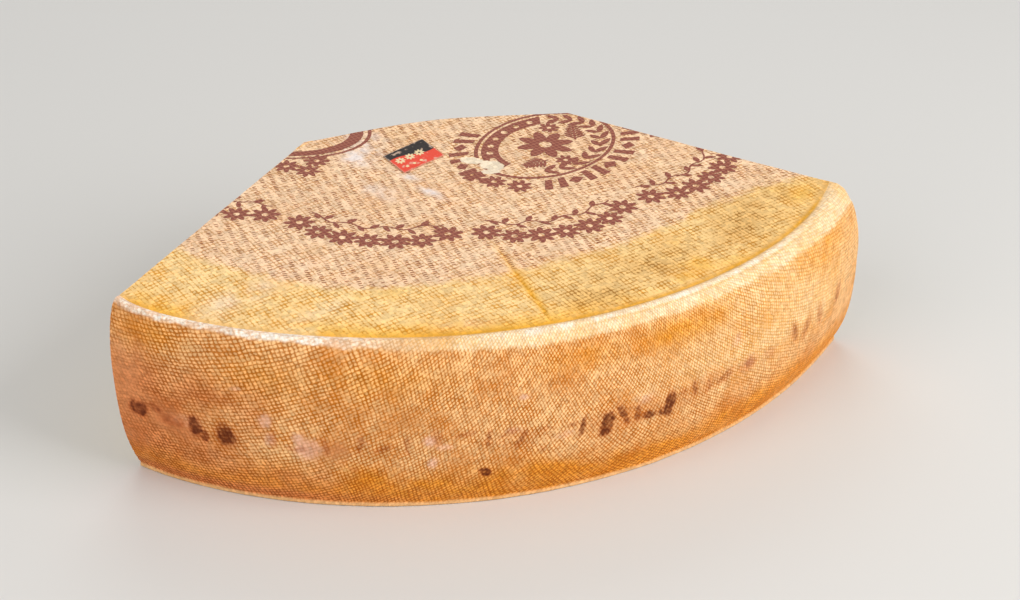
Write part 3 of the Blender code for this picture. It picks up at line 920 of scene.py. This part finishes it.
def food_ink(name, full, thin):
    """Brown food colour printed on pressed rind: full on the cells of the weave, thinner in its grooves."""
    material, tree, shader = new_finish(name)
    waves = thread_waves(tree)[2]
    hill = add(tree, "Math", {0: waves[0], 1: waves[1]}, operation="MULTIPLY")
    place = add(tree, "TexCoord").outputs["Object"]
    grain = add(tree, "TexNoise",
                {"Vector": place, "Scale": 1000 / INK_GRAIN, "Detail": 3.0, "Roughness": 0.65})
    cover = add(tree, "Math", {0: grain, 1: 0.9, 2: hill}, operation="MULTIPLY_ADD")
    cover = add(tree, "MapRange", {"Value": cover, "From Min": 0.35, "From Max": 1.1}, **SMOOTH)
    mixed = add(tree, "Mix", {0: cover, 6: colour(thin), 7: colour(full)}, data_type="RGBA")
    feed(tree, shader, {"Base Color": mixed, "Roughness": 0.6, "Specular IOR Level": 0.3})
    return material


def on_ring(turn, offset):
    """A place on the top, from the angle about the garland's centre and the distance outside its ring."""
    return (RING_CENTRE[0] + (RING_RADIUS + offset) * np.sin(turn),
            RING_CENTRE[1] - (RING_RADIUS + offset) * np.cos(turn))


def about_spot(place, spin=0.0):
    """The way to the top from places about a spot, turned by an angle."""
    def to_top(x, y):
        return (place[0] + x * math.cos(spin) - y * math.sin(spin),
                place[1] + x * math.sin(spin) + y * math.cos(spin))
    return to_top


def along_ring(start):
    def to_top(x, y):
        return on_ring(start + x / RING_RADIUS, -y)
    return to_top


def arch(share):
    """How far outside the ring the group of flowers stands, along its length."""
    return GROUP_ARCH * math.sin(math.pi * min(max(share, 0.0), 1.0)) ** 0.5


def vine(x, y):
    """A leafy vine that follows the inner side of an arched group of flowers, drawn from its left end."""
    length = RING_RADIUS * FLOWER_GAP * (GROUP_FLOWERS - 1)

    def course(along):
        return VINE_GAP - arch(along / length) + 1.8 * math.sin(2 * math.pi * along / 21)

    drawn = stem(x, y, [(along, course(along)) for along in np.arange(2, length, 2.5)], 0.5)
    for number in range(11):
        along = 4 + 7 * number
        side = 1 if number % 2 else -1
        tip = (along + 4.6, course(along) + 5.4 * side)
        drawn = np.maximum(drawn, leaf(x, y, (along, course(along)), tip, 2.9 if side > 0 else 2.3))
    return drawn


garland = []
for group in range(-2, 3):
    start = GROUP_MIDDLE + group * GROUP_GAP - FLOWER_GAP * (GROUP_FLOWERS - 1) / 2
    for number in range(GROUP_FLOWERS):
        middle = on_ring(start + number * FLOWER_GAP, arch(number / (GROUP_FLOWERS - 1)))
        reach = FLOWER_RADIUS * (0.92 if number % 2 else 1.0)
        spin = 0.3 * number + group
        garland.append(((-reach, reach, -reach, reach),
                        lambda x, y, r=reach, s=spin: flower(x, y, r, s), about_spot(middle)))
    garland.append(((-3, 86, -4, 22), vine, along_ring(start)))
print_brown = food_ink("brown_food_ink", "#874030", "#a8664c")
ink_piece("printed_garland", garland, print_brown)


# The printed medallion by the back edge: an oval ring, a solid band with a row of dots left bare,
# leaves, two ferns and a large flower, and plain bars and lozenges round the outside.
OVAL_CENTRE = (71.5, -80.5)
OVAL_SIZE = (48.0, 36.0)
OVAL_TURN = math.radians(33.6)


def fern(x, y, root, tip, leaves, width):
    drawn = stem(x, y, (root, tip), 0.6)
    length = math.hypot(tip[0] - root[0], tip[1] - root[1])
    ux = (tip[0] - root[0]) / length
    uy = (tip[1] - root[1]) / length
    for number in range(leaves):
        share = (number + 0.5) / leaves
        px = root[0] + (tip[0] - root[0]) * share
        py = root[1] + (tip[1] - root[1]) * share
        reach = width * (1 - 0.65 * share)
        for side in (-1, 1):
            end = (px + reach * (0.6 * ux - 0.8 * side * uy), py + reach * (0.6 * uy + 0.8 * side * ux))
            drawn = np.maximum(drawn, leaf(x, y, (px, py), end, 1.5))
    return drawn


def about_oval(x, y):
    """How far out a place is as a share of the oval, the oval's reach that way, and the angle."""
    out = np.hypot(x / OVAL_SIZE[0], y / OVAL_SIZE[1])
    return out, np.hypot(x, y) / np.maximum(out, 1e-6), np.arctan2(y / OVAL_SIZE[1], x / OVAL_SIZE[0])


def on_oval(share, angle):
    return share * OVAL_SIZE[0] * math.cos(angle), share * OVAL_SIZE[1] * math.sin(angle)


def medallion(x, y):
    out, scale, angle = about_oval(x, y)
    drawn = np.minimum(1 - out, out - 0.945) * scale
    band = np.minimum(np.minimum(0.90 - out, out - 0.66) * scale, (np.abs(angle - 2.2) - 1.3) * -25)
    for step in range(9):
        dot = on_oval(0.78, 1.1 + 2.2 * step / 8)
        band = np.minimum(band, np.hypot(x - dot[0], y - dot[1]) - 2.0)
    drawn = np.maximum(drawn, band)
    for step in range(12):
        at = -2.35 + 2.9 * step / 11
        for bend in (-0.14, 0.14):
            drawn = np.maximum(drawn, leaf(x, y, on_oval(0.79, at), on_oval(0.79 + bend, at + 0.24), 3.0))
    ferns = (fern(x, y, (17, -9), (31, 4), 7, 9), fern(x, y, (-15, -13), (-29, -8), 6, 9))
    flowers = (flower(x, y, 17.0, 0.2), flower(x - 19, y - 12, 6.5, 0.0), flower(x + 8, y + 21, 6.5, 0.3))
    return np.max((drawn, *ferns, *flowers), axis=0)


def oval_border(x, y):
    out, scale, angle = about_oval(x, y)
    level = (out - 1.21) * scale
    drawn = np.full(np.shape(x), -1.0)
    for start, count in ((-2.3, 12), (1.9, 9)):
        for step in range(count):
            aside = (angle - start - 0.16 * step + math.pi) % (2 * math.pi) - math.pi
            aside = np.abs(aside) * 45
            if step % 3 == 2:
                mark = 4.0 - aside - np.abs(level)
            else:
                mark = np.minimum(1.9 - aside, 5.8 - np.abs(level))
            drawn = np.maximum(drawn, mark)
    return drawn


far_x = 1.5 * OVAL_SIZE[0]
far_y = 1.5 * OVAL_SIZE[1]
oval_box = (-OVAL_SIZE[0], OVAL_SIZE[0], -OVAL_SIZE[1], OVAL_SIZE[1])
seal = [(oval_box, medallion, about_spot(OVAL_CENTRE, OVAL_TURN)),
        ((-far_x, far_x, -far_y, far_y), oval_border, about_spot(OVAL_CENTRE, OVAL_TURN))]


def bare_of_tear(drawing):
    """The same drawing without what came off with the torn skin."""
    box, inside, to_top = drawing

    def left(x, y):
        return np.where(torn_share(*to_top(x, y)) > 0.5, -1.0, inside(x, y))
    return box, left, to_top


for place, reach in (((20, -106), 7.6), ((29, -117), 7.4), ((41, -126), 7.6), ((131, -72), 7.6),
                     ((139, -83), 7.4), ((-78, -66), 7.8), ((-68, -75), 7.6), ((-60, -64), 7.8)):
    seal.append(((-reach, reach, -reach, reach),
                 lambda x, y, r=reach, s=place[0]: flower(x, y, r, s), about_spot(place)))
SECOND_OVAL = (-66.0, -22.0)


def second_oval(x, y):
    out, scale, angle = about_oval(x, y)
    return np.maximum(np.minimum(1 - out, out - 0.955), np.minimum(0.9 - out, out - 0.74)) * scale


seal.append((oval_box, second_oval, about_spot(SECOND_OVAL, math.radians(-25))))
ink_piece("printed_medallion", [bare_of_tear(drawing) for drawing in seal], print_brown)


# The label: a small parallelogram of thin coated paper stuck on the rind, red with a near-black band
# and plain pale shapes, a little scuffed and pressed into the weave beneath it.
LABEL_CENTRE = (-5.8, -74.1)
LABEL_SIZE = (31.5, 24.2)
LABEL_ANGLES = (math.radians(29), math.radians(105))
LABEL_THICKNESS = 0.3
LABEL_LIFT = 0.25
LABEL_CELLS = (104, 80)
PAPER_FIBRE = 1.2        # clumps of fibre, drawn coarser than the real ones so that they show

across = np.linspace(-0.5, 0.5, LABEL_CELLS[0] + 1)[:, None]
upward = np.linspace(-0.5, 0.5, LABEL_CELLS[1] + 1)[None, :]
u = across * LABEL_SIZE[0] + 0 * upward
v = upward * LABEL_SIZE[1] + 0 * across
x = LABEL_CENTRE[0] + u * math.cos(LABEL_ANGLES[0]) + v * math.cos(LABEL_ANGLES[1])
y = LABEL_CENTRE[1] + u * math.sin(LABEL_ANGLES[0]) + v * math.sin(LABEL_ANGLES[1])
floor_level = smooth_top(x, y) - 0.35 * TOP_RELIEF * (1 - pillow(top_phases(x, y)))
band = ease(v - 1.6 + 2.2 * np.sin(u / 6.0) + 0.12 * u, -0.25, 0.25)
pale = np.full(np.shape(u), -1.0)
for at in (-10.0, -2.5, 5.0):
    pale = np.maximum(pale, flower(u - at, v - 0.5, 3.6, 0.4))
for at in range(3):
    pale = np.maximum(pale, 1.1 - np.hypot(u + 10.0 - 5.5 * at, v + 7.5))
pale = ease(pale, -0.15, 0.15)
scuffed = ease(ragged(u, v, 3.0, 141), 0.35, 0.8)
edge = np.minimum(LABEL_SIZE[0] / 2 - np.abs(u), LABEL_SIZE[1] / 2 - np.abs(v))
scuffed = np.maximum(scuffed, 0.8 * (1 - ease(edge + 0.4 * ragged(u, v, 2.2, 143), 0.1, 0.7)))
sheets = [from_axis(x, y, floor_level + LABEL_LIFT + lift) for lift in (0.0, LABEL_THICKNESS)]
count = x.size
corner = np.arange(count).reshape(x.shape)
rim_loop = list(corner[:-1, 0]) + list(corner[-1, :-1]) + list(corner[:0:-1, -1]) + list(corner[0, :0:-1])
faces = grid_faces(*x.shape) + [[count + c for c in face[::-1]] for face in grid_faces(*x.shape)]
for a, b in zip(rim_loop, rim_loop[1:] + rim_loop[:1]):
    faces.append([int(a), int(a + count), int(b + count), int(b)])

# Coated paper printed in flat colours: a soft sheen, with the fibres just showing where it is scuffed.
label_paper, tree, shader = new_finish("printed_label_paper")
stored = add(tree, "Attribute", attribute_name="design")
parts = add(tree, "SeparateXYZ", {0: stored.outputs["Vector"]})
place = add(tree, "TexCoord").outputs["Object"]
fibre = add(tree, "TexNoise", {"Vector": place, "Scale": 1000 / PAPER_FIBRE, "Detail": 4.0, "Roughness": 0.7})
field = add(tree, "Mix", {0: fibre, 6: colour("#e23a20"), 7: colour("#f05236")}, data_type="RGBA")
dark = add(tree, "Mix", {0: parts.outputs[0], 6: field, 7: colour("#231814")}, data_type="RGBA")
drawn = add(tree, "Mix", {0: parts.outputs[1], 6: dark, 7: colour("#f1d9a8")}, data_type="RGBA")
rubbed = add(tree, "Math", {0: parts.outputs[2], 1: 0.6}, operation="MULTIPLY")
scuff = add(tree, "Mix", {0: rubbed, 6: drawn, 7: colour("#f0cdb4")}, data_type="RGBA")
gloss = add(tree, "MapRange", {"Value": fibre, "To Min": 0.45, "To Max": 0.7})
bump = add(tree, "Bump", {"Height": fibre, "Strength": 0.2, "Distance": 0.0001})
feed(tree, shader, {"Base Color": scuff, "Roughness": gloss, "Normal": bump, "Specular IOR Level": 0.25})
piece = mesh_piece(
    "label_sheet", np.stack(sheets), faces,
    {"design": [np.stack((part, part)) for part in (band, pale, scuffed)]},
    label_paper)
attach(piece, "root")
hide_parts("label")


# A plain pale studio floor of matte card, flat and wide enough to fill every view.
FLOOR_SIZE = 9.0
floor_mesh = bpy.data.meshes.new("studio_floor")
half = FLOOR_SIZE / 2
corners = [(-half, -half, 0), (half, -half, 0), (half, half, 0), (-half, half, 0)]
floor_mesh.from_pydata(corners, [], [(0, 1, 2, 3)])
floor = bpy.data.objects.new("studio_floor", floor_mesh)
floor.location.z = -0.0002
bpy.context.scene.collection.objects.link(floor)
matte, tree, shader = new_finish("matte_pale_card")
feed(tree, shader, {"Base Color": colour("#d9d7d3"), "Roughness": 0.85})
floor_mesh.materials.append(matte)


# Soft studio light: a large overhead panel in front and to the right, as in the photograph, a weaker
# one from the left, and even light from all round.
def panel(name, place, aim, size, power):
    lamp = bpy.data.lights.new(name, "AREA")
    lamp.shape = "SQUARE"
    lamp.size = size
    lamp.energy = power
    lit = bpy.data.objects.new(name, lamp)
    lit.location = place
    away = np.array(place) - np.array(aim)
    tilt = math.atan2(math.hypot(away[0], away[1]), away[2])
    lit.rotation_euler = (tilt, 0, math.atan2(away[1], away[0]) + math.pi / 2)
    bpy.context.scene.collection.objects.link(lit)


panel("key_panel", (1.25, -1.15, 1.05), (0, 0.0, 0.05), 1.3, 28)
panel("fill_panel", (-1.3, -0.9, 1.2), (0, 0.05, 0.05), 1.4, 14)
panel("back_panel", (0.3, 1.5, 1.3), (0, 0.05, 0.05), 1.2, 7)
world = bpy.data.worlds.new("even_light")
bpy.context.scene.world = world
world.use_nodes = True
world.node_tree.nodes["Background"].inputs["Color"].default_value = (1.0, 1.0, 1.0, 1.0)
world.node_tree.nodes["Background"].inputs["Strength"].default_value = 0.44
bpy.context.scene.view_settings.view_transform = "Standard"


# The camera stands where the photographer did, a little above the cheese and in front of its rind.
LENS = 78.14
AIM = (0.0391, 0.0764, 0.0)
AZIMUTH = math.radians(-18.4)
ELEVATION = math.radians(30.113)
DISTANCE = 1.3231
ROLL = math.radians(-1.052)
level_back = np.array((math.sin(AZIMUTH), -math.cos(AZIMUTH), 0.0))
back = math.cos(ELEVATION) * level_back + math.sin(ELEVATION) * np.array((0.0, 0.0, 1.0))
right = np.array((math.cos(AZIMUTH), math.sin(AZIMUTH), 0.0))
down = np.cross(-back, right)
rolled = math.cos(ROLL) * right + math.sin(ROLL) * down
rolled_down = math.cos(ROLL) * down - math.sin(ROLL) * right
camera_data = bpy.data.cameras.new("camera")
camera_data.lens = LENS
camera_data.sensor_width = 36.0
camera = bpy.data.objects.new("camera", camera_data)
bpy.context.scene.collection.objects.link(camera)
spot = np.array(AIM) + back * DISTANCE
matrix = np.eye(4)
matrix[:3, 0] = rolled
matrix[:3, 1] = -rolled_down
matrix[:3, 2] = back
matrix[:3, 3] = spot
camera.matrix_world = Matrix(matrix.tolist())
bpy.context.scene.camera = camera
